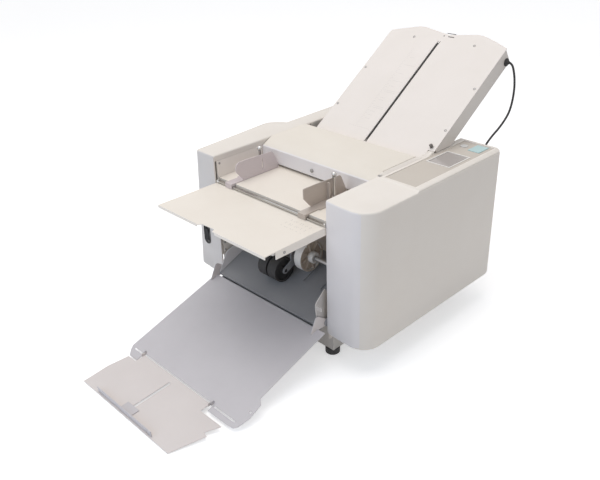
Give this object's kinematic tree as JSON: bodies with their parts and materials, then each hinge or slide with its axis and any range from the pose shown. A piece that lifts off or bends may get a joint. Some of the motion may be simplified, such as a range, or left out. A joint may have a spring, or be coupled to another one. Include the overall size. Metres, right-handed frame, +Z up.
{
  "type": "desktop paper folding machine",
  "caption": "Desk paper folding machine with a feed table and side guides, a sloped fold plate, a control panel, a chute with wheels and a fold-up tray.",
  "frame": {"origin": "middle of the footprint, on the desk under the feet", "axes": "+X to the operator's right, +Y from the operator into the machine, +Z up"},
  "size_m": [0.555, 1.0618, 0.6029],
  "materials": {
    "cream_paint": "satin powder coat",
    "cover_plastic": "fine satin",
    "pale_sheet": "satin",
    "frame_steel": "zinc plated",
    "guide_steel": "satin",
    "chrome": "polished",
    "tray_plastic": "satin",
    "dark_plastic": "matte",
    "black_plastic": "gloss",
    "black_rubber": "matte",
    "pad": "matte",
    "white_plastic": "satin",
    "panel_film": "satin film",
    "screen": "gloss",
    "pale_blue_key": "satin",
    "light_grey": "satin"
  },
  "bodies": {
    "machine": {"base_frame": "pale_sheet", "side_plates": "frame_steel", "tie_rods": "frame_steel", "feet": "black_rubber", "left_cover": "cover_plastic", "right_cover": "cover_plastic", "rear_panel": "pale_sheet", "feed_bed": "cream_paint", "sheet_guides": "guide_steel", "separator_pad": "pad", "guide_rail": "chrome", "feed_table": "cream_paint", "wall_brackets": "frame_steel", "body_screws": "chrome", "chute": "dark_plastic", "chute_walls": "frame_steel", "pivot_pins": "dark_plastic", "fold_plate_top": "cream_paint", "fold_plate_box": "pale_sheet", "fold_plate_screws": "chrome", "plate_motor": "dark_plastic", "stop_rail": "frame_steel", "lower_fold_plate": "frame_steel", "plate_knob": "dark_plastic", "mains_inlet": "black_plastic", "cable_glands": "black_plastic", "cable": "black_rubber", "drive_motor": "dark_plastic", "panel_plate": "panel_film", "display": "screen", "display_frame": "white_plastic", "switch_bezel": "light_grey"},
    "rocker": {"rocker": "black_plastic"},
    "start_key": {"start_key": "pale_blue_key"},
    "oval_key": {"oval_key": "light_grey"},
    "top_cover": {"top_cover": "cream_paint", "cover_knob": "light_grey"},
    "guide_left": {"guide_left": "guide_steel", "guide_pin_left": "chrome"},
    "guide_right": {"guide_right": "guide_steel", "guide_pin_right": "chrome"},
    "feed_roller": {"feed_roller": "black_rubber"},
    "roller_a": {"fold_roller_a": "black_rubber", "gear_a": "white_plastic"},
    "roller_b": {"fold_roller_b": "black_rubber", "gear_b": "white_plastic"},
    "roller_c": {"fold_roller_c": "black_rubber", "gear_c": "white_plastic"},
    "roller_d": {"fold_roller_d": "black_rubber", "gear_d": "white_plastic"},
    "drive_pinion": {"drive_pinion": "frame_steel"},
    "stacker": {"stacker_shaft": "frame_steel", "stacker_wheels": "white_plastic"},
    "press_arm": {"press_arm": "dark_plastic"},
    "press_wheels": {"press_wheels": "black_rubber"},
    "tray": {"tray": "tray_plastic"},
    "tray_extension": {"tray_extension": "tray_plastic"},
    "tray_stop": {"tray_stop": "tray_plastic"},
    "fold_stop": {"fold_stop": "dark_plastic"},
    "lower_stop": {"lower_stop": "dark_plastic"}
  },
  "joints": [
    {"name": "power_rocker", "type": "hinge", "parent": "machine", "child": "rocker", "pos_m": [-0.2415, -0.10809, 0.181], "axis": [1, 0, 0], "range_deg": [-8, 8]},
    {"name": "start_key_press", "type": "slide", "parent": "machine", "child": "start_key", "axis": [0, 0, -1], "range_m": [0, 0.0012], "stiffness_N_per_m": 400},
    {"name": "oval_key_press", "type": "slide", "parent": "machine", "child": "oval_key", "axis": [0, 0, -1], "range_m": [0, 0.0012], "stiffness_N_per_m": 300},
    {"name": "top_cover_hinge", "type": "hinge", "parent": "machine", "child": "top_cover", "pos_m": [-0.1895, 0.19991, 0.39], "axis": [-1, 0, 0], "range_deg": [0, 65]},
    {"name": "guide_left_slide", "type": "slide", "parent": "machine", "child": "guide_left", "axis": [1, 0, 0], "range_m": [-0.028, 0.05]},
    {"name": "guide_right_slide", "type": "slide", "parent": "machine", "child": "guide_right", "axis": [1, 0, 0], "range_m": [-0.05, 0.045]},
    {"name": "feed_roller_spin", "type": "hinge", "parent": "machine", "child": "feed_roller", "pos_m": [-0.1895, 0.07591, 0.3676], "axis": [1, 0, 0], "continuous": true},
    {"name": "roller_b_spin", "type": "hinge", "parent": "machine", "child": "roller_b", "pos_m": [-0.1895, 0.20143, 0.34781], "axis": [1, 0, 0], "continuous": true},
    {"name": "roller_a_spin", "type": "hinge", "parent": "machine", "child": "roller_a", "pos_m": [-0.1895, 0.18229, 0.3764], "axis": [1, 0, 0], "continuous": true},
    {"name": "roller_c_spin", "type": "hinge", "parent": "machine", "child": "roller_c", "pos_m": [-0.1895, 0.23097, 0.36543], "axis": [1, 0, 0], "continuous": true},
    {"name": "roller_d_spin", "type": "hinge", "parent": "machine", "child": "roller_d", "pos_m": [-0.1895, 0.22056, 0.31923], "axis": [1, 0, 0], "continuous": true},
    {"name": "pinion_spin", "type": "hinge", "parent": "machine", "child": "drive_pinion", "pos_m": [-0.1895, 0.17557, 0.3384], "axis": [1, 0, 0], "continuous": true},
    {"name": "stacker_spin", "type": "hinge", "parent": "machine", "child": "stacker", "pos_m": [-0.1895, -0.02709, 0.1867], "axis": [1, 0, 0], "continuous": true},
    {"name": "press_arm_hinge", "type": "hinge", "parent": "machine", "child": "press_arm", "pos_m": [-0.1895, -0.02709, 0.1867], "axis": [-1, 0, 0], "range_deg": [0, 20]},
    {"name": "press_wheels_spin", "type": "hinge", "parent": "press_arm", "child": "press_wheels", "pos_m": [-0.1895, -0.07909, 0.15761], "axis": [1, 0, 0], "continuous": true},
    {"name": "tray_hinge", "type": "hinge", "parent": "machine", "child": "tray", "pos_m": [-0.1895, -0.10609, 0.101], "axis": [-1, 0, 0], "range_deg": [0, 35]},
    {"name": "extension_hinge", "type": "hinge", "parent": "tray", "child": "tray_extension", "pos_m": [-0.1895, -0.39258, 0.01762], "axis": [-1, 0, 0], "range_deg": [0, 100]},
    {"name": "tray_stop_slide", "type": "slide", "parent": "tray_extension", "child": "tray_stop", "axis": [0, 0.9968, 0.0802], "range_m": [0, 0.09]},
    {"name": "fold_stop_slide", "type": "slide", "parent": "machine", "child": "fold_stop", "axis": [0, 0.831, 0.5563], "range_m": [-0.17, 0.055]},
    {"name": "lower_stop_slide", "type": "slide", "parent": "machine", "child": "lower_stop", "axis": [0, 0.5563, -0.831], "range_m": [-0.06, 0.035]}
  ],
  "couplings": [
    {"joint": "roller_a_spin", "follows": "roller_b_spin", "ratio": -1},
    {"joint": "roller_c_spin", "follows": "roller_b_spin", "ratio": -1},
    {"joint": "roller_d_spin", "follows": "roller_b_spin", "ratio": -1},
    {"joint": "pinion_spin", "follows": "roller_b_spin", "ratio": -1.6667}
  ]
}
